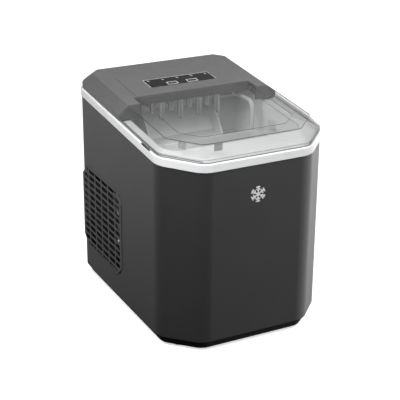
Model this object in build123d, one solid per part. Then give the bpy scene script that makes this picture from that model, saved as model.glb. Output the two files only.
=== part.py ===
from build123d import *
import os
from math import atan, cos, sin, sqrt

# A countertop ice maker.  X runs across, Y from front to back, Z up, all in millimetres.
# The origin is the middle of the footprint, on the surface that the feet stand on.

# Housing
half_width = 111.0
half_depth = 145.5
front_leg = 40.5            # leg of the two front corner chamfers
rear_leg = 20.0             # leg of the two rear corner chamfers
front_round = 27.0
rear_round = 16.0
sheet = 2.0                 # wall of the housing
foot_height = 4.0
base_top = 15.5             # where the black base meets the housing
top_front_z = 234.5         # lower edge of the trim ring at the front
top_rise = 0.0814           # climb of the whole top per millimetre of depth

# Top, as heights above the lower edge of the trim ring
ring_height = 10.3
ring_proud = 1.2
ledge_low = 6.0
ledge_high = 8.0
cover_bend = 17.5           # where the cover's sides turn from upright to sloping
lid_seat = 10.6
lid_bend = 14.6
top_height = 28.7
top_skin = 3.0
hood_wall = 2.5
finger_span = (-87.0, -63.0)
crown_height = 28.1         # flat around the raised octagon
octagon_half = 76.0         # raised octagon shared by the cover and the lid
octagon_end = 111.0
octagon_soft = 0.6          # how far its flank spreads
cover_rounds = (1.6, 2.0)   # rounds along the crown and along the bend
lid_rounds = (0.7, 0.9)
ring_round = 1.5
slope_inset = 14.0          # inset of the flat top from the housing's outline
rim_inset = 1.0

# Opening of the tank, shared by the ledge and the liner
mouth_x = 93.5
mouth_front = -95.0
mouth_rear = 102.0
mouth_round = 20.0
liner_wall = 2.0
tank_floor = 62.0
tank_back = 9.8             # rear wall of the deep part of the tank
shelf_floor = 188.0         # floor of the shallow part, under the ice fingers

# Lid hinge
notch_half = 81.2
notch_back = 25.5
wing_front = 5.2
skirt_low = 16.5
hinge_y = 16.5
hinge_h = 22.5
hinge_pin_r = 2.5
running_gap = 0.05
lid_back = 3.2
tongue_half = 80.4
tongue_back = 22.2

# Control panel
panel_y = 60.5
panel_size = (94.0, 28.0)
panel_top = 28.2
panel_skin = 1.5
button_x = 14.0
button_y = 53.7
button_size = (17.0, 11.0)
button_gap = 0.3
lamp_y = 69.2
lamp_pitch = 20.4
lamp_r = 2.0
board_top = 23.0
board_skin = 1.4

# Ice fingers and water tray
finger_xs = (-39.0, -13.0, 13.0, 39.0)
finger_rows = (32.5, 60.0)
finger_r = 4.0
finger_tip = -12.0
evaporator_h = 17.0
evaporator_r = 3.5
evaporator_end = 70.0
tray_axis = (70.0, 250.0)   # Y and Z of the tray's pivot
tray_drop = 50.0            # degrees from level to lowered
tray_half = 50.0
tray_wall = 2.2
tray_shaft_r = 2.5
bracket_x = 62.0
bracket_skin = 3.0

# Side grilles
grille_front = 0.0
grille_back = 126.0
grille_low = 45.0
grille_high = 164.0
grille_leg = 15.0
grille_proud = 0.8
grille_edge = 0.5
slot_rows = 13
slot_pitch = 8.95
slot_high = 6.0
rib_pitch = 21.2
rib_width = 2.6

# Rear vent panel
vent_size = (176.0, 175.0)
vent_z = 135.5
vent_skin = 1.0
vent_screw_x = 84.0
vent_screw_zs = (54.0, 135.5, 217.0)

# Holes and feet low in the housing
gland_x = -70.0
gland_z = 32.0
gland_r = 6.0
cord_bore_r = 3.6
drain_x = 70.0
drain_y = -60.0
drain_z = 40.0
drain_port_r = 8.5
foot_x = 82.0
foot_y = 104.0

# Emblem on the front
emblem_z = 197.0
emblem_proud = 0.6

# Basket, float and pump in the tank
basket_half = 82.0
basket_front = -91.0
basket_rear = -3.0
basket_low = 128.0
basket_high = 220.0
basket_wall = 2.0
basket_rim = (2.5, 1.8)     # how far the rim stands out across and along
basket_round = 16.0
float_at = (-70.0, -20.0)
pump_at = (68.0, -9.0)
hose_at = (75.0, 3.6)
hose_top = 256.0
hose_end = (47.0, 44.0)

# Cooling side
fan_y = 68.0
fan_z = 102.0
fan_r = 46.0
condenser_x = -97.0
condenser_zs = (138.0, 118.0, 98.0, 78.0, 58.0)
coil_front = 28.0
coil_back = 114.0
coil_r = 4.0
fin_count = 25
fin_pitch = 3.3
fin_skin = 0.4
compressor_at = (34.0, 84.0)
compressor_r = 45.0
compressor_low = 27.0
compressor_high = 146.0

far = 200.0                 # reach of the blocks that cut right through
tilt = atan(top_rise)


def slope_z(y, h=0.0):
    return top_front_z + top_rise * (y + half_depth) + h


def deck(h):
    # plane parallel to the sloping top, h above the lower edge of the trim ring
    return Plane(origin=(0, 0, slope_z(0, h)), x_dir=(1, 0, 0), z_dir=(0, -sin(tilt), cos(tilt)))


def on_deck(x, y, h):
    # local frame with its Z square to the sloping top; rods at one x and y share one axis
    base = Plane(origin=(x, y, slope_z(y)), x_dir=(1, 0, 0), z_dir=(0, -sin(tilt), cos(tilt)))
    return Location(base) * Pos(0, 0, h * cos(tilt))


def on_panel(x, y, h):
    # the same for the control panel, whose pieces all share the panel's own frame
    base = Plane(origin=(0, panel_y, slope_z(panel_y, panel_top)), x_dir=(1, 0, 0),
                 z_dir=(0, -sin(tilt), cos(tilt)))
    return Location(base) * Pos(x, (y - panel_y) / cos(tilt), (h - panel_top) * cos(tilt))


def octagon(half_x, front, back, leg_front, leg_back, round_front, round_back, stretch=1.0):
    points = [(-half_x, front + leg_front), (-half_x + leg_front, front),
              (half_x - leg_front, front), (half_x, front + leg_front),
              (half_x, back - leg_back), (half_x - leg_back, back),
              (-half_x + leg_back, back), (-half_x, back - leg_back)]
    radii = [round_front] * 4 + [round_back] * 4
    return make_face(FilletPolyline(*[(x, y * stretch) for x, y in points], radius=radii, close=True))


def outline(inset, stretch=1.0):
    # plan of the housing moved inwards by inset, and outwards if it is negative
    shrink = (2 - sqrt(2)) * inset
    return octagon(half_width - inset, -half_depth + inset, half_depth - inset,
                   front_leg - shrink, rear_leg - shrink,
                   max(front_round - inset, 4.0), max(rear_round - inset, 4.0), stretch)


def top_face(h, inset):
    return deck(h) * outline(inset, 1 / cos(tilt))


def upright(face, height):
    return extrude(face, amount=height, dir=(0, 0, 1))


def block(x0, x1, y0, y1, z0, z1):
    return Pos((x0 + x1) / 2, (y0 + y1) / 2, (z0 + z1) / 2) * Box(x1 - x0, y1 - y0, z1 - z0)


def deck_block(x0, x1, y0, y1, h0, h1):
    # upright block whose top and bottom follow the sloping top
    corners = [(y0, slope_z(y0, h0)), (y1, slope_z(y1, h0)), (y1, slope_z(y1, h1)), (y0, slope_z(y0, h1))]
    side = Plane.YZ.offset(x0) * Polygon(*corners, align=None)
    return extrude(side, amount=x1 - x0)


def below_top(h):
    return deck_block(-far, far, -far, far, -2 * far, h)


def rod_x(x0, x1, y, z, r):
    return Pos((x0 + x1) / 2, y, z) * Rot(0, 90, 0) * Cylinder(r, x1 - x0)


def rod_y(x, y0, y1, z, r):
    return Pos(x, (y0 + y1) / 2, z) * Rot(90, 0, 0) * Cylinder(r, y1 - y0)


def rod_z(x, y, z0, z1, r):
    return Pos(x, y, (z0 + z1) / 2) * Cylinder(r, z1 - z0)


def pipe(points, bend, r, bore=0.0):
    # round tube along straight runs joined by arcs
    path = FilletPolyline(*points, radius=bend)
    start = Plane(origin=path @ 0, z_dir=path % 0)
    profile = start * Circle(r)
    if bore:
        profile = profile - start * Circle(bore)
    return sweep(profile, path=path)


def round_top(solid, r):
    # rounds the edge round the largest face that looks up
    flat = solid.faces().filter_by(lambda face: face.normal_at().Z > 0.95).sort_by(SortBy.AREA)[-1]
    return fillet(flat.outer_wire().edges(), r)


def group(shapes):
    # one node made of several separate solids
    return Compound([solid for shape in shapes for solid in shape.solids()])


def mouth(grow=0.0):
    width = 2 * (mouth_x + grow)
    depth = mouth_rear - mouth_front + 2 * grow
    middle = (mouth_rear + mouth_front) / 2
    return Pos(0, middle, 0) * RectangleRounded(width, depth, mouth_round + grow)


# Housing

def grille_opening():
    return block(-130, 130, grille_front + 6, grille_back - 6, grille_low + 5, grille_high - 5)


def panel_screw_places():
    return [(side * vent_screw_x, z) for side in (-1, 1) for z in vent_screw_zs]


def countersunk(x, y, z, length):
    # screw lying along Y, its flat head facing the rear at y
    head = Pos(x, y - 0.8, z) * Rot(90, 0, 0) * Cone(3.0, 1.5, 1.6)
    return head + rod_y(x, y - length, y - 1.0, z, 1.5)


def make_panel_screws():
    screws = [countersunk(x, half_depth + vent_skin, z, 9.0) for x, z in panel_screw_places()]
    return group(screws)


def make_body_shell():
    wall = extrude(Plane.XY.offset(base_top) * outline(0), amount=270)
    wall -= extrude(Plane.XY.offset(base_top - 1) * outline(sheet), amount=290)
    wall = wall & below_top(0)
    wall -= grille_opening()
    wall -= block(-80, 80, 140, 150, 56, 215)
    wall -= rod_x(105, 115, drain_y, drain_z, drain_port_r)
    wall -= rod_y(gland_x, 140, 150, gland_z, gland_r)
    for x, z in panel_screw_places():
        wall -= countersunk(x, half_depth + vent_skin, z, 9.0)
    return wall


def make_rear_panel():
    face = Plane.XZ * (Pos(0, vent_z) * RectangleRounded(*vent_size, 6))
    slots = [Plane.XZ * (Pos(x, z) * SlotOverall(46, 5)) for x in (-52, 0, 52) for z in range(70, 205, 12)]
    panel = extrude(face - slots, amount=-vent_skin)
    panel = Pos(0, half_depth, 0) * panel
    for x, z in panel_screw_places():
        panel -= countersunk(x, half_depth + vent_skin, z, 9.0)
    return panel


def slots_face(slots):
    face = slots[0]
    for slot in slots[1:]:
        face += slot
    return face


def make_grille(side):
    middle_y = (grille_front + grille_back) / 2
    middle_z = (grille_low + grille_high) / 2
    wide = grille_back - grille_front
    high = grille_high - grille_low
    plate = chamfer(Rectangle(wide, high).vertices(), grille_leg)
    slots = []
    for row in range(slot_rows):
        rise = (row - (slot_rows - 1) / 2) * slot_pitch
        # rows beside the cut corners end earlier
        reach = wide / 2 - 5 - max(0, abs(rise) - high / 2 + grille_leg + 1)
        edges = [-reach] + [(rib - 2) * rib_pitch for rib in range(5)] + [reach]
        for left, right in zip(edges, edges[1:]):
            low = left + (rib_width / 2 if left > -reach else 0)
            top = right - (rib_width / 2 if right < reach else 0)
            slots.append(Pos((low + top) / 2, rise) * RectangleRounded(top - low, slot_high, 1.8))
    seat = Plane(origin=(side * half_width, middle_y, middle_z), x_dir=(0, side, 0), z_dir=(side, 0, 0))
    shell = extrude(seat * plate, amount=grille_proud)
    outer = shell.faces().sort_by(Axis.X)[0 if side < 0 else -1]
    shell = chamfer(outer.outer_wire().edges(), grille_edge)
    return shell - extrude(seat * slots_face(slots), amount=grille_proud)


def make_base_pan():
    low, top = Plane.XY.offset(foot_height), Plane.XY.offset(base_top)
    pan = loft([low * outline(7.5), top * outline(1.0)])
    pan -= loft([low.offset(3) * outline(10.5), top.offset(1) * outline(4.0)])
    for x, y in foot_places():
        pan -= rod_z(x, y, 0, 10, 3.0)
    return pan


def foot_places():
    return [(x, y) for x in (-foot_x, foot_x) for y in (-foot_y, foot_y)]


def make_rubber_feet():
    feet = []
    for x, y in foot_places():
        pad = Pos(x, y, foot_height / 2) * Cone(8.0, 9.0, foot_height)
        feet.append(pad + rod_z(x, y, foot_height - 0.5, foot_height + 3, 3.0) + rod_z(x, y, 7.0, 8.6, 4.6))
    return group(feet)


def make_front_emblem():
    # six plain arms of an ice crystal
    arm = Pos(0, 5) * Rectangle(1.6, 10)
    for rise in (4.4, 7.2):
        for turn in (-50, 50):
            arm += Pos(0, rise) * Rot(0, 0, turn) * Pos(0, 1.7) * Rectangle(1.3, 3.4)
    star = Circle(1.4)
    for step in range(6):
        star += Rot(0, 0, 60 * step) * arm
    front = Plane(origin=(0, -half_depth, emblem_z), x_dir=(1, 0, 0), z_dir=(0, -1, 0))
    return extrude(front * star, amount=emblem_proud)


# Top

def finger_notch(side):
    return deck_block(side * half_width - 2, side * half_width + 2, *finger_span, ledge_high + 0.1, 12)


def make_trim_ring():
    ring = round_top(upright(top_face(0, -ring_proud), ring_height), ring_round)
    ring -= upright(top_face(-1, sheet), ledge_low + 1)
    ring -= upright(top_face(ledge_high, 3.4), 10)
    ring -= upright(deck(-2) * mouth_on_deck(), 20)
    for side in (-1, 1):
        ring -= finger_notch(side)
    for x, y in cover_screw_places():
        ring -= deck_rod(x, y, ledge_low - 1, ledge_high + 1, 1.6)
    for y in finger_rows:
        ring -= rod_z(-101, y, 200, 280, 3.2)
    return ring


def mouth_on_deck():
    depth = (mouth_rear - mouth_front) / cos(tilt)
    middle = (mouth_rear + mouth_front) / 2 / cos(tilt)
    return Pos(0, middle) * RectangleRounded(2 * mouth_x, depth, mouth_round)


def deck_rod(x, y, h0, h1, r):
    return on_deck(x, y, (h0 + h1) / 2) * Cylinder(r, (h1 - h0) * cos(tilt))


def panel_rod(x, y, h0, h1, r):
    return on_panel(x, y, (h0 + h1) / 2) * Cylinder(r, (h1 - h0) * cos(tilt))


def panel_box(x, y, wide, deep, h0, h1):
    return on_panel(x, y, (h0 + h1) / 2) * Box(wide, deep, (h1 - h0) * cos(tilt))


def cover_screw_places():
    return [(side * x, y) for side in (-1, 1) for x, y in ((60, 122), (99, 84), (99, 20))]


def make_cover_screws():
    screws = []
    for x, y in cover_screw_places():
        screws.append(deck_rod(x, y, 3.8, 6.0, 3.0) + deck_rod(x, y, 5.9, 15.0, 1.6))
    return group(screws)


def hood(base_h, bend_h):
    # upright rim and sloping sides under the flat top
    rim = upright(top_face(base_h, rim_inset), bend_h - base_h)
    crown = loft([top_face(bend_h, rim_inset), top_face(crown_height, slope_inset)])
    return rim + crown


def soft_hood(base_h, bend_h, rounds):
    # the same with its edges rounded and the octagon standing on it
    crown_round, bend_round = rounds
    shell = round_top(hood(base_h, bend_h), crown_round)
    shell = fillet([edge for edge in shell.edges() if lies_at(edge, bend_h)], bend_round)
    return shell + raised_octagon()


def lies_at(edge, h):
    points = [edge @ 0, edge @ 0.5, edge @ 1]
    return all(abs(point.Z - slope_z(point.Y, h)) < 0.1 for point in points)


def hood_hollow(base_h, bend_h):
    slope = (slope_inset - rim_inset) / (crown_height - bend_h)
    under = top_height - top_skin
    reach = rim_inset + slope * (under - bend_h) + hood_wall * sqrt(1 + slope * slope)
    start = bend_h - 1.0
    rim = upright(top_face(base_h - 2, rim_inset + hood_wall), start - base_h + 2)
    crown = loft([top_face(start, rim_inset + hood_wall), top_face(under, reach)])
    return rim + crown


def octagon_face(h, inset):
    shrink = (2 - sqrt(2)) * inset
    end = octagon_end - inset
    face = octagon(octagon_half - inset, -end, end, 20.4 - shrink, 15.0 - shrink, 3.0, 3.0, 1 / cos(tilt))
    return deck(h) * face


def raised_octagon():
    # broad low step that runs from the cover on to the lid
    foot = upright(octagon_face(crown_height - 0.5, 0), 0.5)
    return foot + loft([octagon_face(crown_height, 0), octagon_face(top_height, octagon_soft)])


def make_top_cover():
    cover = soft_hood(ring_height, cover_bend, cover_rounds) & deck_block(-far, far, wing_front, far, -5, 60)
    hollow = hood_hollow(ring_height, cover_bend) & deck_block(-far, far, wing_front + hood_wall, far, -5, 60)
    hollow -= deck_block(-notch_half - 3, notch_half + 3, 0, notch_back + 2.5, skirt_low, 60)
    cover -= hollow
    cover -= deck_block(-notch_half, notch_half, 0, notch_back, -5, 60)
    cover -= deck_block(-notch_half - 3, notch_half + 3, wing_front + 2.5, notch_back + 2.5, -5, skirt_low)
    wide, deep = panel_size
    cover -= panel_box(0, panel_y, wide + 0.4, deep + 0.4, panel_top - panel_skin, 35)
    cover -= panel_box(0, panel_y, wide - 6, deep - 2.4, 20, 35)
    axis_z = slope_z(hinge_y, hinge_h)
    for side in (-1, 1):
        cover -= rod_x(side * 83 - 3, side * 83 + 3, hinge_y, axis_z, hinge_pin_r + running_gap)
    under = top_height - top_skin
    for x, y in board_screw_places():
        cover += panel_rod(x, y, board_top, under + 0.2, 3.0) - panel_rod(x, y, board_top - 1, under, 1.2)
    # screw bosses that end on the ledge, trimmed to the cover's outside
    trim = hood(ring_height - 6, cover_bend)
    for x, y in cover_screw_places():
        cover += (deck_rod(x, y, ledge_high, 40, 4.2) & trim) - deck_rod(x, y, ledge_high - 1, 15.5, 1.6)
    return cover


def board_screw_places():
    return [(side * 51.5, panel_y + step) for side in (-1, 1) for step in (-11.0, 11.0)]


def make_control_panel():
    wide, deep = panel_size
    face = RectangleRounded(wide, deep, 1.5)
    for x in (-button_x, button_x):
        face -= Pos(x, (button_y - panel_y) / cos(tilt)) * RectangleRounded(*button_size, 2.0)
    for step in range(-2, 3):
        face -= Pos(step * lamp_pitch, (lamp_y - panel_y) / cos(tilt)) * Circle(lamp_r)
    return extrude(on_panel(0, panel_y, panel_top - panel_skin) * face, amount=panel_skin * cos(tilt))


def make_button(x):
    under = panel_top - panel_skin
    wide, deep = button_size[0] - 2 * button_gap, button_size[1] - 2 * button_gap
    face = on_panel(x, button_y, under - 1.0) * RectangleRounded(wide, deep, 1.7)
    cap = extrude(face, amount=panel_skin + 1.3)
    flange = panel_box(x, button_y, wide + 2.2, deep, under - 1.1, under - 0.3)
    return cap + flange + panel_box(x, button_y, 4, 4, board_top + 1.9, under - 0.9)


def make_indicator_lenses():
    lenses = [panel_rod(step * lamp_pitch, lamp_y, panel_top - panel_skin - 1.2, panel_top, lamp_r)
              for step in range(-2, 3)]
    return group(lenses)


def make_display_board():
    board = panel_box(0, panel_y, 110, 30, board_top - board_skin, board_top)
    for x in (-button_x, button_x):
        board += panel_box(x, button_y, 6, 6, board_top - 0.1, board_top + 1.0)
    for step in range(-2, 3):
        board += panel_box(step * lamp_pitch, lamp_y, 3, 3, board_top - 0.1, board_top + 1.1)
    for x, y in board_screw_places():
        board -= panel_rod(x, y, 20, 24, 1.2)
    return board


def make_board_screws():
    low = board_top - board_skin
    screws = [panel_rod(x, y, low - 1.6, low, 2.4) + panel_rod(x, y, low - 0.1, low + 3.6, 1.2)
              for x, y in board_screw_places()]
    return group(screws)


# Lid

def make_lid():
    keep = deck_block(-far, far, -far, lid_back, -5, 60)
    keep += deck_block(-tongue_half, tongue_half, lid_back - 1, tongue_back, -5, 60)
    lid = soft_hood(lid_seat, lid_bend, lid_rounds) & keep
    lid -= hood_hollow(lid_seat, lid_bend)
    lid += deck_block(-tongue_half, tongue_half, tongue_back - 2.2, tongue_back, hinge_h - 3, top_height - 1)
    axis_z = slope_z(hinge_y, hinge_h)
    for side in (-1, 1):
        inner, outer = sorted((side * (tongue_half - 3), side * tongue_half))
        lid += rod_x(inner, outer, hinge_y, axis_z, 6.2)
        lid += deck_block(inner, outer, hinge_y - 6.2, hinge_y + 5.5, hinge_h, top_height - 1)
        lid += finger_tab(side)
        lid -= rod_x(inner - 1, outer + 1, hinge_y, axis_z, hinge_pin_r)
    return lid


def finger_tab(side):
    low, high = sorted((side * (half_width - rim_inset - 1), side * half_width))
    return deck_block(low, high, *finger_span, lid_seat, lid_bend - 1.2)


def make_hinge_pins():
    axis_z = slope_z(hinge_y, hinge_h)
    pins = []
    for side in (-1, 1):
        low, high = sorted((side * (tongue_half - 3), side * (notch_half + 3)))
        pins.append(rod_x(low, high, hinge_y, axis_z, hinge_pin_r))
    return group(pins)


def make_lid_tabs():
    # two small grey tabs that hang under the front of the lid
    under = top_height - top_skin
    front = deck_block(-49, -39, -129, -126.6, 16.5, under)
    corner = Pos(-81, -110, 250) * Rot(0, 0, -45) * Box(9, 2.2, 100)
    corner = corner & deck_block(-100, 0, -130, 0, 17, under)
    return group([front, corner])


# Tank, basket and water side

def make_tank_liner():
    outer = extrude(Plane.XY.offset(tank_floor - liner_wall) * mouth(liner_wall), amount=220)
    outer -= block(-120, 120, tank_back + liner_wall, 200, 0, shelf_floor - liner_wall)
    hollow = extrude(Plane.XY.offset(tank_floor) * mouth(), amount=220)
    hollow -= block(-120, 120, tank_back, 200, 0, shelf_floor)
    liner = (outer & below_top(ledge_low)) - hollow
    for side in (-1, 1):
        low, high = sorted((side * 82.0, side * (mouth_x + 0.5)))
        liner += block(low, high, -70, -14, 118, 127.6)
    liner -= rod_z(drain_x, drain_y, 50, 70, 5.0)
    return liner


def make_tank_insulation():
    foam = extrude(Plane.XY.offset(56) * outline(sheet + 3), amount=168)
    foam = foam & block(-far, far, -far, tank_back + liner_wall, 0, 2 * far)
    foam += block(-95, 95, tank_back + 1, mouth_rear, 172, shelf_floor - liner_wall)
    lined = extrude(Plane.XY.offset(tank_floor - liner_wall) * mouth(liner_wall), amount=220)
    lined -= block(-120, 120, tank_back + liner_wall, 200, 0, shelf_floor - liner_wall)
    foam -= lined
    foam -= rod_z(drain_x, drain_y, 40, 70, 7.4)
    return foam


def basket_block(grow, low, high, grow_y=None):
    width = 2 * (basket_half + grow)
    depth = basket_rear - basket_front + 2 * (grow if grow_y is None else grow_y)
    middle = (basket_front + basket_rear) / 2
    face = Pos(0, middle) * RectangleRounded(width, depth, basket_round + grow)
    return extrude(Plane.XY.offset(low) * face, amount=high - low)


def make_ice_basket():
    shell = basket_block(0, basket_low, basket_high)
    rim_x, rim_y = basket_rim
    shell += basket_block(rim_x, basket_high - 2.5, basket_high, rim_y)
    shell -= basket_block(-basket_wall, basket_low + 2, basket_high + 10)
    middle = (basket_front + basket_rear) / 2
    for x in range(-60, 61, 20):
        for y in (-24, 0, 24):
            shell -= extrude(Plane.XY.offset(120) * (Pos(x, middle + y) * SlotOverall(14, 4)), amount=15)
    return shell


def make_float_stem():
    return rod_z(*float_at, tank_floor, 98, 3.0) + rod_z(*float_at, 95.5, 98, 5.0)


def make_level_float():
    return rod_z(*float_at, 64, 76, 9.0) - rod_z(*float_at, 60, 80, 3.4)


def make_ice_sensors():
    pods = [block(*sorted((side * 88.5, side * mouth_x)), -27, -15, 226, 236) for side in (-1, 1)]
    return group(pods)


def make_water_pump():
    x, y = pump_at
    pump = extrude(Plane.XY.offset(tank_floor) * (Pos(x, y) * RectangleRounded(32, 30, 5)), amount=30)
    return pump + rod_z(x - 8, y - 5, 90, 96, 9.0) + rod_z(*hose_at, 88, 99, 2.0)


def make_pump_hose():
    x, y = hose_at
    end_x, end_y = hose_end
    points = [(x, y, 92), (x, y, hose_top), (x, end_y, hose_top), (end_x, end_y, hose_top)]
    return pipe(points, 9.0, 3.0, 2.0)


def make_drain_tube():
    points = [(drain_x, drain_y, 60), (drain_x, drain_y, drain_z), (half_width - 0.6, drain_y, drain_z)]
    return pipe(points, 12.0, 7.0, 5.0)


def make_drain_plug():
    plug = rod_x(96, half_width, drain_y, drain_z, 5.0 - running_gap)
    plug += rod_x(half_width - 1, half_width + 1, drain_y, drain_z, 4.9)
    return plug + rod_x(half_width + 0.3, half_width + ring_proud, drain_y, drain_z, 9.5)


# Ice fingers and tray

def make_evaporator_tube():
    near, far = [y / cos(tilt) for y in finger_rows]
    bend = (far - near) / 2
    bend_x = evaporator_end - 4
    runs = Line((-evaporator_end, near), (bend_x, near))
    runs += CenterArc((bend_x, near + bend), bend, -90, 180)
    runs += Line((bend_x, far), (-evaporator_end, far))
    start = Plane(origin=(-evaporator_end, near, 0), z_dir=(1, 0, 0))
    return deck(evaporator_h) * sweep(start * Circle(evaporator_r), path=runs)


def make_ice_fingers():
    tube = make_evaporator_tube()
    fingers = []
    for y in finger_rows:
        for x in finger_xs:
            tip = slope_z(y, finger_tip)
            finger = rod_z(x, y, tip + finger_r, slope_z(y, evaporator_h), finger_r)
            finger += Pos(x, y, tip + finger_r) * Sphere(finger_r)
            fingers.append((finger - tube).solids().sort_by(Axis.Z)[0])
    return group(fingers)


def make_tray_bracket():
    axis_y, axis_z = tray_axis
    halves = []
    for side in (-1, 1):
        low, high = sorted((side * (bracket_x - bracket_skin / 2), side * (bracket_x + bracket_skin / 2)))
        arm = deck_block(low, high, 30.5, 113, 11, 21.2)
        arm += deck_block(low, high, 104, 113, ledge_high, 12)
        arm += rod_x(low, high, axis_y, axis_z, 8.0)
        arm += block(low, high, axis_y - 8, axis_y + 8, axis_z, axis_z + 15)
        foot_low, foot_high = sorted((side * (bracket_x - 1.5), side * (bracket_x + 12)))
        arm += deck_block(foot_low, foot_high, 104, 113, ledge_high, ledge_high + 2.4)
        arm -= rod_x(low - 1, high + 1, axis_y, axis_z, tray_shaft_r + running_gap)
        halves.append(arm - make_evaporator_tube())
    return group(halves)


def tray_turn(shape):
    # swings a shape from the level freezing place to the lowered place
    return Pos(0, *tray_axis) * Rot(tray_drop, 0, 0) * Pos(0, -tray_axis[0], -tray_axis[1]) * shape


def make_water_tray():
    axis_y, axis_z = tray_axis
    outside = [(69.7, axis_z), (69.7, 225.8), (29.1, 225.8), (10.0, 245.0), (12.0, 246.6)]
    inside = [(67.5, axis_z + 1), (67.5, 228), (30, 228), (11.0, 247.0), (11.0, axis_z + 1)]
    shell = extrude(Plane.YZ * Polygon(*outside, align=None), amount=tray_half + tray_wall, both=True)
    shell -= extrude(Plane.YZ * Polygon(*inside, align=None), amount=tray_half, both=True)
    shell += rod_x(-tray_half - tray_wall, tray_half + tray_wall, axis_y, axis_z, 4.6)
    shell -= rod_x(-80, 80, axis_y, axis_z, tray_shaft_r)
    return tray_turn(shell)


def make_tray_shaft():
    return rod_x(-74, 66, *tray_axis, tray_shaft_r)


def make_tray_motor():
    left = -bracket_x - bracket_skin / 2
    motor = rod_x(left - 17, left, *tray_axis, 13.5)
    return motor - rod_x(-75, left + 1, *tray_axis, tray_shaft_r + running_gap)


# Cooling side

def make_compressor():
    x, y = compressor_at
    shell = rod_z(x, y, compressor_low, compressor_high, compressor_r)
    shell = fillet(shell.edges().filter_by(GeomType.CIRCLE), 20)
    seam = rod_z(x, y, 84, 88, compressor_r + 2)
    plate = extrude(Plane.XY.offset(24) * (Pos(x, y) * RectangleRounded(100, 90, 8)), amount=3)
    for px, py in grommet_places():
        plate -= rod_z(px, py, 20, 30, 3.0)
    return shell + seam + plate


def grommet_places():
    x, y = compressor_at
    return [(x + 43 * i, y + 38 * j) for i in (-1, 1) for j in (-1, 1)]


def make_compressor_grommets():
    grommets = [rod_z(x, y, 7, 24, 8.0) - rod_z(x, y, 0, 30, 3.0) for x, y in grommet_places()]
    return group(grommets)


def make_compressor_bolts():
    bolts = [rod_z(x, y, 7, 30, 3.0) + rod_z(x, y, 27, 30.5, 5.5) for x, y in grommet_places()]
    return group(bolts)


def make_condenser_coil():
    coil = rod_y(condenser_x, coil_front, coil_back, condenser_zs[0], coil_r)
    for step, z in enumerate(condenser_zs[1:]):
        end, turn = (coil_front, 90) if step % 2 == 0 else (coil_back, -90)
        coil += rod_y(condenser_x, coil_front, coil_back, z, coil_r)
        loop_plane = Plane(origin=(condenser_x, end, z + 10), x_dir=(0, 1, 0), z_dir=(1, 0, 0))
        arc = loop_plane * CenterArc((0, 0), 10, turn, 180)
        coil += sweep(Plane(origin=arc @ 0, z_dir=arc % 0) * Circle(coil_r), path=arc)
    return coil


def make_condenser_fins():
    middle_z = condenser_zs[2]
    face = Rectangle(20, 104)
    for z in condenser_zs:
        face -= Pos(0, z - middle_z) * Circle(coil_r)
    fins = []
    for step in range(fin_count):
        place = (condenser_x, coil_front + 4 + fin_pitch * step, middle_z)
        fins.append(extrude(Plane(origin=place, x_dir=(1, 0, 0), z_dir=(0, -1, 0)) * face, amount=fin_skin))
    return group(fins)


def make_fan_shroud():
    shroud = block(-86, -66, 14, 122, 46, 158) - block(-87, -68.5, 16.5, 119.5, 48.5, 155.5)
    shroud -= rod_x(-70, -60, fan_y, fan_z, fan_r + 3)
    for turn in range(3):
        arm = Pos(-64.8, fan_y, fan_z) * Rot(120 * turn + 90, 0, 0) * Pos(0, 34, 0) * Box(2.4, 44, 8)
        shroud += arm
    shroud -= rod_x(-66.1, -60, fan_y, fan_z, 16.0)
    return shroud


def make_fan_motor():
    motor = rod_x(-66, -40, fan_y, fan_z, 16.0) + rod_x(-40, -37, fan_y, fan_z, 8.0)
    return motor - rod_x(-67, -45, fan_y, fan_z, 1.5 + running_gap)


def make_fan_blades():
    hub = rod_x(-82, -70, fan_y, fan_z, 12.0)
    blade = Pos(0, 0, 28) * Rot(0, 0, 32) * Box(1.6, 15, 35)
    for step in range(7):
        hub += Pos(-76, fan_y, fan_z) * Rot(step * 360 / 7, 0, 0) * blade
    return hub - rod_x(-90, -60, fan_y, fan_z, 1.5)


def make_fan_shaft():
    return rod_x(-81, -47, fan_y, fan_z, 1.5)


def make_suction_line():
    y = finger_rows[1]
    z = slope_z(y, evaporator_h)
    x = compressor_at[0]
    points = [(-evaporator_end, y, z), (-101, y, z), (-101, y, 165), (x - 12, y, 165), (x - 12, y, 120)]
    return pipe(points, 9.0, 2.6) - make_compressor()


def make_capillary_line():
    y = finger_rows[0]
    z = slope_z(y, evaporator_h)
    points = [(-evaporator_end, y, z), (-101, y, z), (-101, y, 163), (-50, y, 163), (-50, y, 122)]
    return pipe(points, 8.0, 1.4)


def make_filter_dryer():
    y = finger_rows[0]
    body = rod_z(-50, y, 66, 116, 8.0)
    body = fillet(body.edges().filter_by(GeomType.CIRCLE), 5)
    return body + rod_z(-50, y, 60, 68, 2.6) + rod_z(-50, y, 114, 122, 2.4)


def make_liquid_line():
    y = finger_rows[0]
    low = condenser_zs[-1]
    points = [(condenser_x, coil_front, low), (condenser_x, 18, low), (condenser_x, 18, 34), (-50, 18, 34),
              (-50, y, 34), (-50, y, 60)]
    return pipe(points, 5.0, 2.4)


def make_discharge_line():
    x, y = compressor_at
    top = condenser_zs[0]
    points = [(condenser_x, coil_back, top), (condenser_x, 127, top), (condenser_x, 127, 162),
              (x + 8, 127, 162), (x + 8, y + 12, 162), (x + 8, y + 12, 120)]
    return pipe(points, 7.0, 2.4) - make_compressor()


def make_control_board():
    board = block(-62, 2, 134, 135.6, 60, 150)
    board += block(-60, -38, 112, 134.1, 66, 92)
    board += block(-34, -16, 118, 134.1, 70, 84) + rod_y(-25, 110, 134.1, 104, 9.0)
    board += block(-58, -42, 124, 134.1, 104, 132) + block(-30, -8, 126, 134.1, 124, 140)
    return board


def make_board_posts():
    return group([rod_y(x, 135.6, half_depth - sheet, z, 3.0) for x in (-57, -3) for z in (64, 146)])


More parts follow.
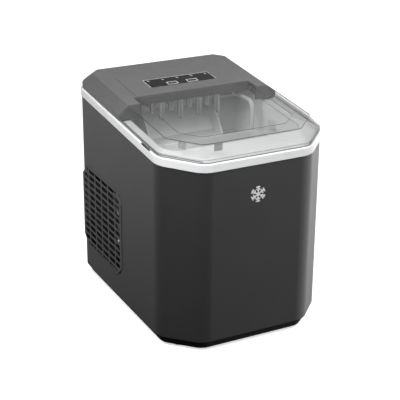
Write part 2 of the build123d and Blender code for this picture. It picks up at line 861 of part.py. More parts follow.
def make_cord_gland():
    gland = rod_y(gland_x, 131, half_depth, gland_z, gland_r)
    gland += rod_y(gland_x, half_depth, half_depth + ring_proud, gland_z, 9.0)
    gland += rod_y(gland_x, 139, half_depth - sheet, gland_z, 7.5)
    return gland - rod_y(gland_x, 120, 150, gland_z, cord_bore_r)


makers = {
    "body_shell": make_body_shell,
    "rear_panel": make_rear_panel,
    "rear_panel_screws": make_panel_screws,
    "left_grille": lambda: make_grille(-1),
    "right_grille": lambda: make_grille(1),
    "base_pan": make_base_pan,
    "rubber_feet": make_rubber_feet,
    "front_emblem": make_front_emblem,
    "trim_ring": make_trim_ring,
    "top_cover": make_top_cover,
    "cover_screws": make_cover_screws,
    "control_panel": make_control_panel,
    "power_button": lambda: make_button(-button_x),
    "size_button": lambda: make_button(button_x),
    "indicator_lenses": make_indicator_lenses,
    "display_board": make_display_board,
    "display_board_screws": make_board_screws,
    "lid": make_lid,
    "lid_hinge_pins": make_hinge_pins,
    "lid_tabs": make_lid_tabs,
    "tank_liner": make_tank_liner,
    "tank_insulation": make_tank_insulation,
    "ice_basket": make_ice_basket,
    "float_stem": make_float_stem,
    "level_float": make_level_float,
    "ice_sensors": make_ice_sensors,
    "water_pump": make_water_pump,
    "pump_hose": make_pump_hose,
    "drain_tube": make_drain_tube,
    "drain_plug": make_drain_plug,
    "evaporator_tube": make_evaporator_tube,
    "ice_fingers": make_ice_fingers,
    "tray_bracket": make_tray_bracket,
    "water_tray": make_water_tray,
    "tray_shaft": make_tray_shaft,
    "tray_motor": make_tray_motor,
    "compressor": make_compressor,
    "compressor_grommets": make_compressor_grommets,
    "compressor_bolts": make_compressor_bolts,
    "condenser_coil": make_condenser_coil,
    "condenser_fins": make_condenser_fins,
    "fan_shroud": make_fan_shroud,
    "fan_motor": make_fan_motor,
    "fan_blades": make_fan_blades,
    "fan_shaft": make_fan_shaft,
    "suction_line": make_suction_line,
    "capillary_line": make_capillary_line,
    "filter_dryer": make_filter_dryer,
    "liquid_line": make_liquid_line,
    "discharge_line": make_discharge_line,
    "control_board": make_control_board,
    "board_posts": make_board_posts,
    "cord_gland": make_cord_gland,
}

os.makedirs("parts", exist_ok=True)
for name, make in makers.items():
    export_step(make(), f"parts/{name}.step")
    print("wrote", name)
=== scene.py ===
import math
import bpy
import bmesh
from mathutils import Matrix, Vector


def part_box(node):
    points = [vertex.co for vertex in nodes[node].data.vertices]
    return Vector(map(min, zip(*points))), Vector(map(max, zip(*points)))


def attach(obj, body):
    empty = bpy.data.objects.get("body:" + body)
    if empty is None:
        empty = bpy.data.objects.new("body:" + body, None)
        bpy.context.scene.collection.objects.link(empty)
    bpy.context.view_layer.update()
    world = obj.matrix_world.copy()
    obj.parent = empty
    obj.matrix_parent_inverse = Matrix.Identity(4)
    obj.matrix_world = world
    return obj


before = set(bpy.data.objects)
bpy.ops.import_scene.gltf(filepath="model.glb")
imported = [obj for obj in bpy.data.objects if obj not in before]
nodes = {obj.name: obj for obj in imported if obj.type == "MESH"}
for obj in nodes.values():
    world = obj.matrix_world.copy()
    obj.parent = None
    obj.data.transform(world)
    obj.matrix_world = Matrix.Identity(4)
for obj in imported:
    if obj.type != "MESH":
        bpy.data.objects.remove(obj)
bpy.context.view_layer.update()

# Countertop ice maker: finishes, printed details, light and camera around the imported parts.
# Lengths are in metres, x to the right, y to the back, z up.
millimetre = 0.001
scene = bpy.context.scene

# the plane of the sloping top, in millimetres: how much it rises for each step back, and its front (y, z)
slopeRise = 0.0814
slopeFront = (-145.5, 234.5)


# helpers for node trees
def addNode(tree, kind, **values):
    node = tree.nodes.new(kind)
    for name, value in values.items():
        if hasattr(node, name):
            setattr(node, name, value)
        else:
            node.inputs[name].default_value = value
    return node


def join(tree, source, target):
    tree.links.new(source, target)


def newGroup(name, inputs, outputs):
    group = bpy.data.node_groups.new(name, "ShaderNodeTree")
    for label, kind, value in inputs:
        socket = group.interface.new_socket(label, in_out="INPUT", socket_type=kind)
        if value is not None:
            socket.default_value = value
    for label, kind in outputs:
        group.interface.new_socket(label, in_out="OUTPUT", socket_type=kind)
    return group, group.nodes.new("NodeGroupInput"), group.nodes.new("NodeGroupOutput")


def placeGroup(tree, group, **values):
    node = tree.nodes.new("ShaderNodeGroup")
    node.node_tree = group
    for name, value in values.items():
        node.inputs[name].default_value = value
    return node


# surface effects that several finishes share, each built once
grainLook = {"fine": 1800.0, "slow": 14.0, "pitShare": 0.45}


def buildGrain():
    # moulded or sprayed texture: fine height for the bump, slow patches for colour and gloss
    group, inside, outside = newGroup("grain",
        [("Fine", "NodeSocketFloat", grainLook["fine"]), ("Slow", "NodeSocketFloat", grainLook["slow"])],
        [("Height", "NodeSocketFloat"), ("Patches", "NodeSocketFloat")])
    place = addNode(group, "ShaderNodeTexCoord")
    fine = addNode(group, "ShaderNodeTexNoise", Detail=3.0, Roughness=0.6)
    pits = addNode(group, "ShaderNodeTexVoronoi", feature="SMOOTH_F1", Smoothness=0.6)
    slow = addNode(group, "ShaderNodeTexNoise", Detail=5.0, Roughness=0.55)
    both = addNode(group, "ShaderNodeMath", operation="MULTIPLY_ADD")
    both.inputs[1].default_value = grainLook["pitShare"]
    join(group, place.outputs["Object"], fine.inputs["Vector"])
    join(group, place.outputs["Object"], pits.inputs["Vector"])
    join(group, place.outputs["Object"], slow.inputs["Vector"])
    join(group, inside.outputs["Fine"], fine.inputs["Scale"])
    join(group, inside.outputs["Fine"], pits.inputs["Scale"])
    join(group, inside.outputs["Slow"], slow.inputs["Scale"])
    join(group, pits.outputs["Distance"], both.inputs[0])
    join(group, fine.outputs["Fac"], both.inputs[2])
    join(group, both.outputs[0], outside.inputs["Height"])
    join(group, slow.outputs["Fac"], outside.inputs["Patches"])
    return group


softEdgeLook = {"radius": 0.0006, "flat": 0.995, "sharp": 0.86, "broken": 220.0, "patches": (0.42, 0.66)}


def buildSoftEdge():
    # rounds the shading of sharp edges and says where they are
    group, inside, outside = newGroup("softEdge",
        [("Broken", "NodeSocketFloat", softEdgeLook["broken"])],
        [("Normal", "NodeSocketVector"), ("Wear", "NodeSocketFloat")])
    rounded = addNode(group, "ShaderNodeBevel", samples=4)
    rounded.inputs["Radius"].default_value = softEdgeLook["radius"]
    flat = addNode(group, "ShaderNodeNewGeometry")
    turned = addNode(group, "ShaderNodeVectorMath", operation="DOT_PRODUCT")
    edge = addNode(group, "ShaderNodeMapRange")
    edge.inputs["From Min"].default_value = softEdgeLook["flat"]
    edge.inputs["From Max"].default_value = softEdgeLook["sharp"]
    place = addNode(group, "ShaderNodeTexCoord")
    broken = addNode(group, "ShaderNodeTexNoise", Detail=4.0, Roughness=0.65)
    patchy = addNode(group, "ShaderNodeMapRange")
    patchy.inputs["From Min"].default_value = softEdgeLook["patches"][0]
    patchy.inputs["From Max"].default_value = softEdgeLook["patches"][1]
    wear = addNode(group, "ShaderNodeMath", operation="MULTIPLY")
    join(group, rounded.outputs["Normal"], turned.inputs[0])
    join(group, flat.outputs["Normal"], turned.inputs[1])
    join(group, turned.outputs["Value"], edge.inputs["Value"])
    join(group, place.outputs["Object"], broken.inputs["Vector"])
    join(group, inside.outputs["Broken"], broken.inputs["Scale"])
    join(group, broken.outputs["Fac"], patchy.inputs["Value"])
    join(group, edge.outputs["Result"], wear.inputs[0])
    join(group, patchy.outputs["Result"], wear.inputs[1])
    join(group, rounded.outputs["Normal"], outside.inputs["Normal"])
    join(group, wear.outputs[0], outside.inputs["Wear"])
    return group


dustLook = {"scale": 60.0, "slopeFrom": 0.3, "cloudFrom": 0.4, "cloudTo": 0.8}


def buildDust():
    # thin dust on what faces up
    group, inside, outside = newGroup("dust",
        [("Scale", "NodeSocketFloat", dustLook["scale"])], [("Mask", "NodeSocketFloat")])
    flat = addNode(group, "ShaderNodeNewGeometry")
    split = addNode(group, "ShaderNodeSeparateXYZ")
    up = addNode(group, "ShaderNodeMapRange")
    up.inputs["From Min"].default_value = dustLook["slopeFrom"]
    place = addNode(group, "ShaderNodeTexCoord")
    cloud = addNode(group, "ShaderNodeTexNoise", Detail=6.0, Roughness=0.7)
    thin = addNode(group, "ShaderNodeMapRange")
    thin.inputs["From Min"].default_value = dustLook["cloudFrom"]
    thin.inputs["From Max"].default_value = dustLook["cloudTo"]
    mask = addNode(group, "ShaderNodeMath", operation="MULTIPLY")
    join(group, flat.outputs["Normal"], split.inputs[0])
    join(group, split.outputs["Z"], up.inputs["Value"])
    join(group, place.outputs["Object"], cloud.inputs["Vector"])
    join(group, inside.outputs["Scale"], cloud.inputs["Scale"])
    join(group, cloud.outputs["Fac"], thin.inputs["Value"])
    join(group, up.outputs["Result"], mask.inputs[0])
    join(group, thin.outputs["Result"], mask.inputs[1])
    join(group, mask.outputs[0], outside.inputs["Mask"])
    return group


def buildBrushed():
    # fine lines drawn along one direction
    group, inside, outside = newGroup("brushed",
        [("Stretch", "NodeSocketVector", (4.0, 900.0, 900.0))],
        [("Height", "NodeSocketFloat")])
    place = addNode(group, "ShaderNodeTexCoord")
    pull = addNode(group, "ShaderNodeVectorMath", operation="MULTIPLY")
    lines = addNode(group, "ShaderNodeTexNoise", Scale=1.0, Detail=2.0)
    join(group, place.outputs["Object"], pull.inputs[0])
    join(group, inside.outputs["Stretch"], pull.inputs[1])
    join(group, pull.outputs["Vector"], lines.inputs["Vector"])
    join(group, lines.outputs["Fac"], outside.inputs["Height"])
    return group


grainGroup = buildGrain()
softEdgeGroup = buildSoftEdge()
dustGroup = buildDust()
brushedGroup = buildBrushed()


def mixColour(tree, mask, first, second):
    blend = addNode(tree, "ShaderNodeMix", data_type="RGBA")
    join(tree, mask, blend.inputs["Factor"])
    for value, socket in ((first, blend.inputs[6]), (second, blend.inputs[7])):
        if isinstance(value, tuple):
            socket.default_value = (*value, 1.0)
        else:
            join(tree, value, socket)
    return blend.outputs[2]


def mixNumber(tree, mask, low, high):
    spread = addNode(tree, "ShaderNodeMapRange")
    spread.inputs["To Min"].default_value = low
    spread.inputs["To Max"].default_value = high
    join(tree, mask, spread.inputs["Value"])
    return spread.outputs["Result"]


def scaled(tree, value, factor):
    times = addNode(tree, "ShaderNodeMath", operation="MULTIPLY")
    times.inputs[1].default_value = factor
    join(tree, value, times.inputs[0])
    return times.outputs[0]


def spread(tree, value, source, target):
    node = addNode(tree, "ShaderNodeMapRange", interpolation_type="SMOOTHSTEP")
    node.inputs["From Min"].default_value, node.inputs["From Max"].default_value = source
    node.inputs["To Min"].default_value, node.inputs["To Max"].default_value = target
    join(tree, value, node.inputs["Value"])
    return node.outputs["Result"]


def times(tree, *values):
    product = values[0]
    for value in values[1:]:
        node = addNode(tree, "ShaderNodeMath", operation="MULTIPLY")
        join(tree, product, node.inputs[0])
        join(tree, value, node.inputs[1])
        product = node.outputs[0]
    return product


# what a finish has when its own dictionary doesn't say otherwise
plainFinish = {"grainScale": 1800.0, "patchScale": 14.0, "patchTint": 1.12, "patchGloss": (0.86, 1.14),
    "wear": 0.0, "wearTint": 2.2, "dust": 0.0, "dustColour": (0.5, 0.48, 0.45), "bump": 0.12, "depth": 0.0001,
    "metal": 0.0, "ior": 1.5, "coat": 0.0, "coatRoughness": 0.08}


def lighter(colour, tint):
    return tuple(min(1.0, tint * part) for part in colour)


def makeFinish(ownLook):
    # one Principled surface with grain, patchy gloss, worn edges and dust
    look = {**plainFinish, **ownLook}
    material = bpy.data.materials.new(look["name"])
    material.use_nodes = True
    tree = material.node_tree
    shader = tree.nodes["Principled BSDF"]
    grain = placeGroup(tree, grainGroup, Fine=look["grainScale"], Slow=look["patchScale"])
    edge = placeGroup(tree, softEdgeGroup)
    base = look["colour"]
    colour = mixColour(tree, grain.outputs["Patches"], base, lighter(base, look["patchTint"]))
    if look["wear"]:
        worn = scaled(tree, edge.outputs["Wear"], look["wear"])
        colour = mixColour(tree, worn, colour, lighter(base, look["wearTint"]))
    if look["dust"]:
        dust = placeGroup(tree, dustGroup)
        film = scaled(tree, dust.outputs["Mask"], look["dust"])
        colour = mixColour(tree, film, colour, look["dustColour"])
    join(tree, colour, shader.inputs["Base Color"])
    low, high = (look["roughness"] * share for share in look["patchGloss"])
    join(tree, mixNumber(tree, grain.outputs["Patches"], low, high), shader.inputs["Roughness"])
    bump = addNode(tree, "ShaderNodeBump")
    bump.inputs["Strength"].default_value = look["bump"]
    bump.inputs["Distance"].default_value = look["depth"]
    if "stretch" in look:
        lines = placeGroup(tree, brushedGroup, Stretch=look["stretch"])
        join(tree, lines.outputs["Height"], bump.inputs["Height"])
    else:
        join(tree, grain.outputs["Height"], bump.inputs["Height"])
    join(tree, edge.outputs["Normal"], bump.inputs["Normal"])
    join(tree, bump.outputs["Normal"], shader.inputs["Normal"])
    shader.inputs["Metallic"].default_value = look["metal"]
    shader.inputs["IOR"].default_value = look["ior"]
    shader.inputs["Coat Weight"].default_value = look["coat"]
    shader.inputs["Coat Roughness"].default_value = look["coatRoughness"]
    return material


def dress(material, *names):
    for name in names:
        slots = nodes[name].material_slots
        for slot in slots:
            slot.material = material
        if not slots:
            nodes[name].data.materials.append(material)


# housing
housingPaint = {"name": "housingPaint", "colour": (0.022, 0.022, 0.023), "roughness": 0.40,
    "grainScale": 1500.0, "bump": 0.10, "wear": 0.35, "dust": 0.03, "patchTint": 1.25}
housingPlastic = {"name": "housingPlastic", "colour": (0.060, 0.060, 0.062), "roughness": 0.50, "ior": 1.75,
    "grainScale": 2300.0, "bump": 0.22, "wear": 0.3, "dust": 0.05, "patchTint": 1.10}
grillePlastic = {"name": "grillePlastic", "colour": (0.032, 0.032, 0.034), "roughness": 0.46,
    "grainScale": 2300.0, "bump": 0.2, "wear": 0.3, "patchTint": 1.15}
basePlastic = {"name": "basePlastic", "colour": (0.007, 0.007, 0.008), "roughness": 0.6, "ior": 1.25,
    "grainScale": 1200.0, "bump": 0.25, "patchTint": 1.3}
softRubber = {"name": "softRubber", "colour": (0.016, 0.016, 0.016), "roughness": 0.78,
    "grainScale": 900.0, "bump": 0.4, "patchTint": 1.4}
whitePlastic = {"name": "whitePlastic", "colour": (0.59, 0.595, 0.60), "roughness": 0.28,
    "grainScale": 900.0, "bump": 0.03, "patchTint": 1.03, "dust": 0.04}
emblemPrint = {"name": "emblemPrint", "colour": (0.50, 0.51, 0.52), "roughness": 0.35,
    "grainScale": 2600.0, "bump": 0.06}

print("finishes: housing")
dress(makeFinish(housingPaint), "body_shell", "rear_panel")
dress(makeFinish(housingPlastic), "top_cover")
dress(makeFinish(grillePlastic), "left_grille", "right_grille")
dress(makeFinish(basePlastic), "base_pan", "fan_shroud", "water_pump")
rubberFinish = makeFinish(softRubber)
dress(rubberFinish, "rubber_feet", "compressor_grommets", "drain_plug", "cord_gland")
dress(makeFinish(whitePlastic), "trim_ring", "drain_tube", "board_posts")
dress(makeFinish(emblemPrint), "front_emblem")


# control panel
panelGloss = {"name": "panelGloss", "colour": (0.006, 0.006, 0.007), "roughness": 0.10, "ior": 1.15,
    "grainScale": 3000.0, "bump": 0.01, "dust": 0.004}
buttonGloss = {"name": "buttonGloss", "colour": (0.010, 0.010, 0.011), "roughness": 0.2, "ior": 1.3,
    "grainScale": 3000.0, "bump": 0.02}
lampLens = {"name": "lampLens", "colour": (0.16, 0.165, 0.17), "roughness": 0.22,
    "grainScale": 2500.0, "bump": 0.05, "coat": 0.4}
# light ink for the buttons' printed outlines; it also colours the panel's painted edge highlight
printAndHighlightInk = {"name": "printAndHighlightInk", "colour": (0.52, 0.53, 0.54), "roughness": 0.45,
    "grainScale": 3000.0, "bump": 0.05}

print("finishes: control panel")
dress(makeFinish(panelGloss), "control_panel")
dress(makeFinish(buttonGloss), "power_button", "size_button")
dress(makeFinish(lampLens), "indicator_lenses")
inkAndHighlightFinish = makeFinish(printAndHighlightInk)


# lid
smokedClear = {"name": "smokedClear", "colour": (0.060, 0.061, 0.062), "facing": 0.08, "edgeOn": 0.40,
    "blend": 0.35, "roughness": 0.06, "patchGloss": (0.5, 1.6), "ior": 1.49, "grainScale": 500.0,
    "patchScale": 30.0, "bump": 0.02, "depth": 0.0002}
# dark finish of the lid's painted shade lines
lidEdgeShade = {"name": "lidEdgeShade", "colour": (0.018, 0.018, 0.019), "roughness": 0.25, "bump": 0.03}
tabPlastic = {"name": "tabPlastic", "colour": (0.30, 0.30, 0.305), "roughness": 0.4, "bump": 0.1}


def makeClear(look):
    # tinted clear plastic: thin film of colour that thickens where it is seen edge on
    material = bpy.data.materials.new(look["name"])
    material.use_nodes = True
    tree = material.node_tree
    shader = tree.nodes["Principled BSDF"]
    shader.inputs["Base Color"].default_value = (*look["colour"], 1.0)
    shader.inputs["IOR"].default_value = look["ior"]
    grain = placeGroup(tree, grainGroup, Fine=look["grainScale"], Slow=look["patchScale"])
    low, high = (look["roughness"] * share for share in look["patchGloss"])
    join(tree, mixNumber(tree, grain.outputs["Patches"], low, high), shader.inputs["Roughness"])
    facing = addNode(tree, "ShaderNodeLayerWeight", Blend=look["blend"])
    film = mixNumber(tree, facing.outputs["Facing"], look["facing"], look["edgeOn"])
    join(tree, film, shader.inputs["Alpha"])
    bump = addNode(tree, "ShaderNodeBump")
    bump.inputs["Strength"].default_value = look["bump"]
    bump.inputs["Distance"].default_value = look["depth"]
    join(tree, grain.outputs["Patches"], bump.inputs["Height"])
    join(tree, bump.outputs["Normal"], shader.inputs["Normal"])
    return material


print("finishes: lid")
dress(makeClear(smokedClear), "lid")
dress(makeFinish(tabPlastic), "lid_tabs")


# inside
linerPlastic = {"name": "linerPlastic", "colour": (0.80, 0.805, 0.81), "roughness": 0.32,
    "grainScale": 700.0, "bump": 0.04, "coat": 0.2}
basketPlastic = {"name": "basketPlastic", "colour": (0.58, 0.585, 0.59), "roughness": 0.3,
    "grainScale": 700.0, "bump": 0.05}
trayPlastic = {"name": "trayPlastic", "colour": (0.62, 0.625, 0.63), "roughness": 0.34,
    "grainScale": 700.0, "bump": 0.05}
floatPlastic = {"name": "floatPlastic", "colour": (0.62, 0.62, 0.60), "roughness": 0.5, "bump": 0.15}
foam = {"name": "foam", "colour": (0.30, 0.295, 0.28), "roughness": 0.85, "grainScale": 260.0, "bump": 0.6,
    "depth": 0.0006, "patchTint": 0.8}
stainless = {"name": "stainless", "colour": (0.60, 0.60, 0.60), "roughness": 0.24, "metal": 1.0,
    "stretch": (900.0, 900.0, 6.0), "bump": 0.08}
zincSteel = {"name": "zincSteel", "colour": (0.52, 0.53, 0.53), "roughness": 0.36, "metal": 1.0, "bump": 0.1}
copper = {"name": "copper", "colour": (0.72, 0.36, 0.22), "roughness": 0.3, "metal": 1.0, "bump": 0.08,
    "patchTint": 0.75}
# fin aluminium kept much darker than the coil's so the grille's slots read dark: painted shade
shadedFinAluminium = {"name": "shadedFinAluminium", "colour": (0.34, 0.345, 0.35), "roughness": 0.24, "metal": 1.0,
    "stretch": (12.0, 12.0, 700.0), "bump": 0.15}
coilAluminium = {"name": "coilAluminium", "colour": (0.72, 0.73, 0.74), "roughness": 0.22, "metal": 1.0,
    "bump": 0.15}
blackEnamel = {"name": "blackEnamel", "colour": (0.010, 0.010, 0.011), "roughness": 0.22, "coat": 0.5,
    "grainScale": 600.0, "bump": 0.08, "dust": 0.1}
boardGreen = {"name": "boardGreen", "colour": (0.012, 0.085, 0.035), "roughness": 0.42, "bump": 0.2,
    "grainScale": 900.0, "patchTint": 1.4}
fanPlastic = {"name": "fanPlastic", "colour": (0.014, 0.014, 0.015), "roughness": 0.36, "bump": 0.1}
hoseClear = {"name": "hoseClear", "colour": (0.50, 0.52, 0.52), "roughness": 0.3, "bump": 0.05}

print("finishes: inside")
dress(makeFinish(linerPlastic), "tank_liner", "float_stem")
dress(makeFinish(basketPlastic), "ice_basket")
dress(makeFinish(trayPlastic), "water_tray")
dress(makeFinish(floatPlastic), "level_float", "ice_sensors")
dress(makeFinish(foam), "tank_insulation")
dress(makeFinish(stainless), "evaporator_tube", "ice_fingers", "tray_bracket", "tray_shaft", "fan_shaft",
      "lid_hinge_pins")
dress(makeFinish(zincSteel), "rear_panel_screws", "cover_screws", "display_board_screws",
      "compressor_bolts", "tray_motor", "fan_motor")
dress(makeFinish(copper), "suction_line", "capillary_line", "liquid_line", "discharge_line", "filter_dryer")
dress(makeFinish(shadedFinAluminium), "condenser_fins")
dress(makeFinish(coilAluminium), "condenser_coil")
dress(makeFinish(blackEnamel), "compressor")
dress(makeFinish(boardGreen), "control_board", "display_board")
dress(makeFinish(fanPlastic), "fan_blades")
dress(makeFinish(hoseClear), "pump_hose")


# thin raised frames: printed outlines on the buttons, and round the panel a light frame that is a painted
# highlight of the panel's edge
buttonOutline = {"wide": 0.0148, "deep": 0.0088, "line": 0.00095, "corner": 0.0020}
# the panel's frame is a painted highlight of its edge
panelHighlight = {"inset": 0.0002, "deep": 0.028, "line": 0.00085, "corner": 0.0018}
frameLayer = {"thick": 0.00008, "sunk": 0.00002, "steps": 8}


def roundedRectangle(wide, deep, corner, steps):
    points = []
    for centreX, centreY, start in ((1, 1, 0), (-1, 1, 90), (-1, -1, 180), (1, -1, 270)):
        for step in range(steps + 1):
            turn = math.radians(start + 90 * step / steps)
            points.append((centreX * (wide / 2 - corner) + corner * math.cos(turn),
                           centreY * (deep / 2 - corner) + corner * math.sin(turn)))
    return points


def makeFrame(name, wide, deep, look):
    # closed rounded frame lying in its own x and y
    line, corner = look["line"], look["corner"]
    thick, steps = frameLayer["thick"], frameLayer["steps"]
    outer = roundedRectangle(wide, deep, corner, steps)
    inner = roundedRectangle(wide - 2 * line, deep - 2 * line, corner - line, steps)
    mesh = bpy.data.meshes.new(name)
    work = bmesh.new()
    rings = [[work.verts.new((x, y, z)) for x, y in points]
             for points, z in ((outer, 0), (outer, thick), (inner, thick), (inner, 0))]
    count = len(outer)
    for here, there in zip(rings, rings[1:] + rings[:1]):
        for index in range(count):
            after = (index + 1) % count
            work.faces.new((here[index], here[after], there[after], there[index]))
    bmesh.ops.recalc_face_normals(work, faces=work.faces)
    work.to_mesh(mesh)
    work.free()
    piece = bpy.data.objects.new(name, mesh)
    scene.collection.objects.link(piece)
    return piece


def makeTube(name, points, radius, sides=6):
    # thin rod along a line of points
    mesh = bpy.data.meshes.new(name)
    work = bmesh.new()
    rings = []
    for index, point in enumerate(points):
        before = points[max(index - 1, 0)]
        after = points[min(index + 1, len(points) - 1)]
        along = (after - before).normalized()
        across = along.cross(Vector((0, 0, 1))).normalized()
        up = across.cross(along)
        turns = [2 * math.pi * side / sides for side in range(sides)]
        rings.append([work.verts.new(point + radius * (math.cos(turn) * across + math.sin(turn) * up))
                      for turn in turns])
    for here, there in zip(rings, rings[1:]):
        for side in range(sides):
            after = (side + 1) % sides
            work.faces.new((here[side], here[after], there[after], there[side]))
    work.faces.new(rings[0])
    work.faces.new(rings[-1])
    bmesh.ops.recalc_face_normals(work, faces=work.faces)
    work.to_mesh(mesh)
    work.free()
    piece = bpy.data.objects.new(name, mesh)
    scene.collection.objects.link(piece)
    return piece


def slopeFrame(node):
    # middle of a node's top face on the sloping plane, with that plane's tilt
    low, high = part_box(node)
    tilt = math.atan(slopeRise)
    turn = Matrix.Rotation(tilt, 4, "X")
    flat = [turn.inverted() @ vertex.co for vertex in nodes[node].data.vertices]
    top = max(point.z for point in flat)
    middleX = (low.x + high.x) / 2
    middleY = (min(p.y for p in flat) + max(p.y for p in flat)) / 2
    return turn, Vector((middleX, middleY, top))


def layOutline(outline, node, body):
    # puts a frame on a node's top face, a hair into it
    turn, middle = slopeFrame(node)
    outline.data.transform(turn @ Matrix.Translation(middle - Vector((0, 0, frameLayer["sunk"]))))
    outline.data.materials.append(inkAndHighlightFinish)
    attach(outline, body)


print("printed outlines")
for button in ("power_button", "size_button"):
    ring = makeFrame(button + "_outline", buttonOutline["wide"], buttonOutline["deep"], buttonOutline)
    layOutline(ring, button, button)
# a light frame round the panel: painted highlight along its edge
panelLow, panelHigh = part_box("control_panel")
panelInset = panelHighlight["inset"]
panelHighlightFrame = makeFrame("panel_edge_highlight", panelHigh.x - panelLow.x - panelInset, panelHighlight["deep"] - panelInset,
                   panelHighlight)
layOutline(panelHighlightFrame, "control_panel", "housing")


# dark lines along the clear lid's edges, painted shade for the darkening where those edges bend the light, in
# millimetres: half width, where a front chamfer starts on the side (shoulder) and ends at the front (nose),
# the front, the back ends, and the height over the slope
lidShadeLines = {
    "lid_crown_shade_line": {"half": 97.0, "shoulder": -99.2, "nose": 64.7, "front": -131.5, "back": 3.2,
        "height": 27.75, "radius": 0.42, "corner": 4.0},
    "lid_step_shade_line": {"half": 76.6, "shoulder": -91.0, "nose": 56.0, "front": -111.4, "back": 22.0,
        "height": 28.05, "radius": 0.24, "corner": 1.5},
    "lid_bend_shade_line": {"half": 109.6, "shoulder": -104.4, "nose": 69.9, "front": -144.1, "back": 3.2,
        "height": 14.4, "radius": 0.2, "corner": 6.0},
    "lid_seat_shade_line": {"half": 109.7, "shoulder": -104.5, "nose": 70.0, "front": -144.2, "back": 3.2,
        "height": 10.85, "radius": 0.26, "corner": 6.0},
}
# dark bands along the lid's sides: painted shade, like the lines above
lidShadeBand = {"half": 109.3, "shoulder": -104.2, "nose": 71.0, "front": -142.5, "back": 2.6,
    "height": 12.6, "radius": 0.45, "corner": 6.0}
bendSteps = 5


def sidePath(look, side):
    # from the back along one side and round its chamfer to the front
    return [(side * look["half"], look["back"]), (side * look["half"], look["shoulder"]),
            (side * look["nose"], look["front"])]


def onSlope(x, y, height):
    frontY, frontZ = slopeFront
    return Vector((x, y, frontZ + slopeRise * (y - frontY) + height)) * millimetre


def softCorners(points, reach):
    # replaces every inner corner by a short curve
    soft = [points[0]]
    for before, corner, after in zip(points, points[1:], points[2:]):
        start = corner + (before - corner).normalized() * reach
        end = corner + (after - corner).normalized() * reach
        for step in range(bendSteps + 1):
            share = step / bendSteps
            soft.append((1 - share) ** 2 * start + 2 * share * (1 - share) * corner + share ** 2 * end)
    return soft + [points[-1]]


# one painted shade line: a thin dark tube on the lid along a path
def makeShadeLine(name, look, path):
    corners = [onSlope(x, y, look["height"]) for x, y in path]
    line = makeTube(name, softCorners(corners, look["corner"] * millimetre), look["radius"] * millimetre)
    line.data.materials.append(shadeLineFinish)
    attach(line, "lid")


print("lid shade lines")
shadeLineFinish = makeFinish(lidEdgeShade)
for lineName, lineLook in lidShadeLines.items():
    makeShadeLine(lineName, lineLook, sidePath(lineLook, -1) + sidePath(lineLook, 1)[::-1])
for sideName, side in (("left", -1), ("right", 1)):
    makeShadeLine("lid_" + sideName + "_shade_band", lidShadeBand, sidePath(lidShadeBand, side))


# small dark rubber strips in the ring's notches, under the lid's finger tabs: painted shade for the shadowed
# gap there
tabGapShade = {"x": 110.7, "front": -86.2, "back": -63.8, "height": 9.15, "radius": 0.9, "sides": 10}

print("tab gap shade strips")
for sideName, side in (("left", -1), ("right", 1)):
    ends = [onSlope(side * tabGapShade["x"], y, tabGapShade["height"]) for y in (tabGapShade["front"], tabGapShade["back"])]
    shadeStrip = makeTube("tab_gap_shade_" + sideName, ends, tabGapShade["radius"] * millimetre, tabGapShade["sides"])
    shadeStrip.data.materials.append(rubberFinish)
    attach(shadeStrip, "housing")


# floor, light and camera
stage = {"size": 6.0, "colour": (0.90, 0.90, 0.90), "patchColour": (0.93, 0.93, 0.93), "roughness": 0.7,
    "glow": 0.6, "grainScale": 300.0, "patchScale": 3.0}
lightAim = (0, 0, 0.14)
lights = [
    {"name": "keyLeft", "place": (-0.44, -0.22, 0.66), "size": (0.4, 0.4), "power": 4.6},
    {"name": "keyRight", "place": (0.36, -0.42, 0.70), "size": (0.4, 0.4), "power": 2.0},
    {"name": "fillFront", "place": (-0.26, -0.56, 0.70), "size": (0.35, 0.35), "power": 3.0},
]
# brightness of the room that reflections see, and over which part of a direction each light comes and goes
room = {"low": 0.02, "high": 0.30, "rise": (-0.4, 0.1),
    "back": 0.85, "backSide": (0.15, 0.75), "backRise": (-0.48, -0.27), "backFall": (0.0, 0.3),
    "right": 1.55, "rightSide": (0.25, 0.9), "rightRise": (-0.6, -0.3)}
camera = {"place": (-0.6402, -1.2360, 0.7172), "turn": -27.21, "height": 22.75, "roll": 0.41,
    "lens": 105.4, "sensor": 36.0, "shift": (0.0068, 0.0022)}


def makeFloor():
    mesh = bpy.data.meshes.new("floor")
    half = stage["size"] / 2
    corners = [(-half, -half, 0), (half, -half, 0), (half, half, 0), (-half, half, 0)]
    mesh.from_pydata(corners, [], [(0, 1, 2, 3)])
    floor = bpy.data.objects.new("floor", mesh)
    scene.collection.objects.link(floor)
    material = bpy.data.materials.new("floorPaint")
    material.use_nodes = True
    tree = material.node_tree
    shader = tree.nodes["Principled BSDF"]
    grain = placeGroup(tree, grainGroup, Fine=stage["grainScale"], Slow=stage["patchScale"])
    colour = mixColour(tree, grain.outputs["Patches"], stage["colour"], stage["patchColour"])
    join(tree, colour, shader.inputs["Base Color"])
    shader.inputs["Roughness"].default_value = stage["roughness"]
    shader.inputs["Emission Color"].default_value = (1.0, 1.0, 1.0, 1.0)
    shader.inputs["Emission Strength"].default_value = stage["glow"]
    mesh.materials.append(material)
    floor.visible_glossy = False
    floor.visible_diffuse = False


def makeLight(look):
    data = bpy.data.lights.new(look["name"], "AREA")
    data.shape = "RECTANGLE"
    data.size, data.size_y = look["size"]
    data.energy = look["power"]
    lamp = bpy.data.objects.new(look["name"], data)
    lamp.location = look["place"]
    aim = Vector(lightAim) - lamp.location
    lamp.rotation_euler = aim.to_track_quat("-Z", "Y").to_euler()
    lamp.visible_camera = False
    scene.collection.objects.link(lamp)


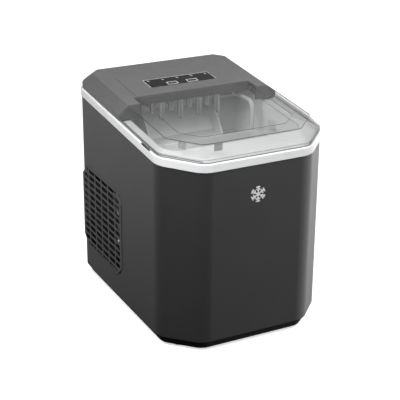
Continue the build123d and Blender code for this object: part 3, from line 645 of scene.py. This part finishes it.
def makeWorld():
    # white behind the object; reflections see a room that is bright on the right and dark near the floor
    world = bpy.data.worlds.new("studio")
    scene.world = world
    world.use_nodes = True
    tree = world.node_tree
    background = tree.nodes["Background"]
    place = addNode(tree, "ShaderNodeTexCoord")
    split = addNode(tree, "ShaderNodeSeparateXYZ")
    join(tree, place.outputs["Generated"], split.inputs[0])
    # low glow behind, fading towards the floor and above the horizon
    back = times(tree, spread(tree, split.outputs["Y"], room["backSide"], (0.0, room["back"])),
                 spread(tree, split.outputs["Z"], room["backRise"], (0.03, 1.0)),
                 spread(tree, split.outputs["Z"], room["backFall"], (1.0, 0.05)))
    right = times(tree, spread(tree, split.outputs["X"], room["rightSide"], (0.0, room["right"])),
                  spread(tree, split.outputs["Z"], room["rightRise"], (0.45, 1.0)))
    glow = addNode(tree, "ShaderNodeMath", operation="ADD")
    join(tree, back, glow.inputs[0])
    join(tree, right, glow.inputs[1])
    level = addNode(tree, "ShaderNodeMath", operation="ADD")
    join(tree, glow.outputs[0], level.inputs[0])
    base = spread(tree, split.outputs["Z"], room["rise"], (room["low"], room["high"]))
    join(tree, base, level.inputs[1])
    seen = addNode(tree, "ShaderNodeLightPath")
    blend = addNode(tree, "ShaderNodeMix", data_type="FLOAT")
    blend.inputs[3].default_value = 1.0
    join(tree, seen.outputs["Is Camera Ray"], blend.inputs[0])
    join(tree, level.outputs[0], blend.inputs[2])
    join(tree, blend.outputs[0], background.inputs["Strength"])
    background.inputs["Color"].default_value = (1.0, 1.0, 1.0, 1.0)


def makeCamera():
    data = bpy.data.cameras.new("camera")
    data.lens = camera["lens"]
    data.sensor_width = camera["sensor"]
    data.shift_x, data.shift_y = camera["shift"]
    eye = bpy.data.objects.new("camera", data)
    turn = Matrix.Rotation(math.radians(camera["turn"]), 4, "Z")
    lean = Matrix.Rotation(math.radians(90 - camera["height"]), 4, "X")
    roll = Matrix.Rotation(math.radians(camera["roll"]), 4, "Z")
    eye.matrix_world = Matrix.Translation(camera["place"]) @ turn @ lean @ roll
    scene.collection.objects.link(eye)
    scene.camera = eye


print("floor, light and camera")
makeFloor()
for light in lights:
    makeLight(light)
makeWorld()
makeCamera()
scene.view_settings.view_transform = "Standard"
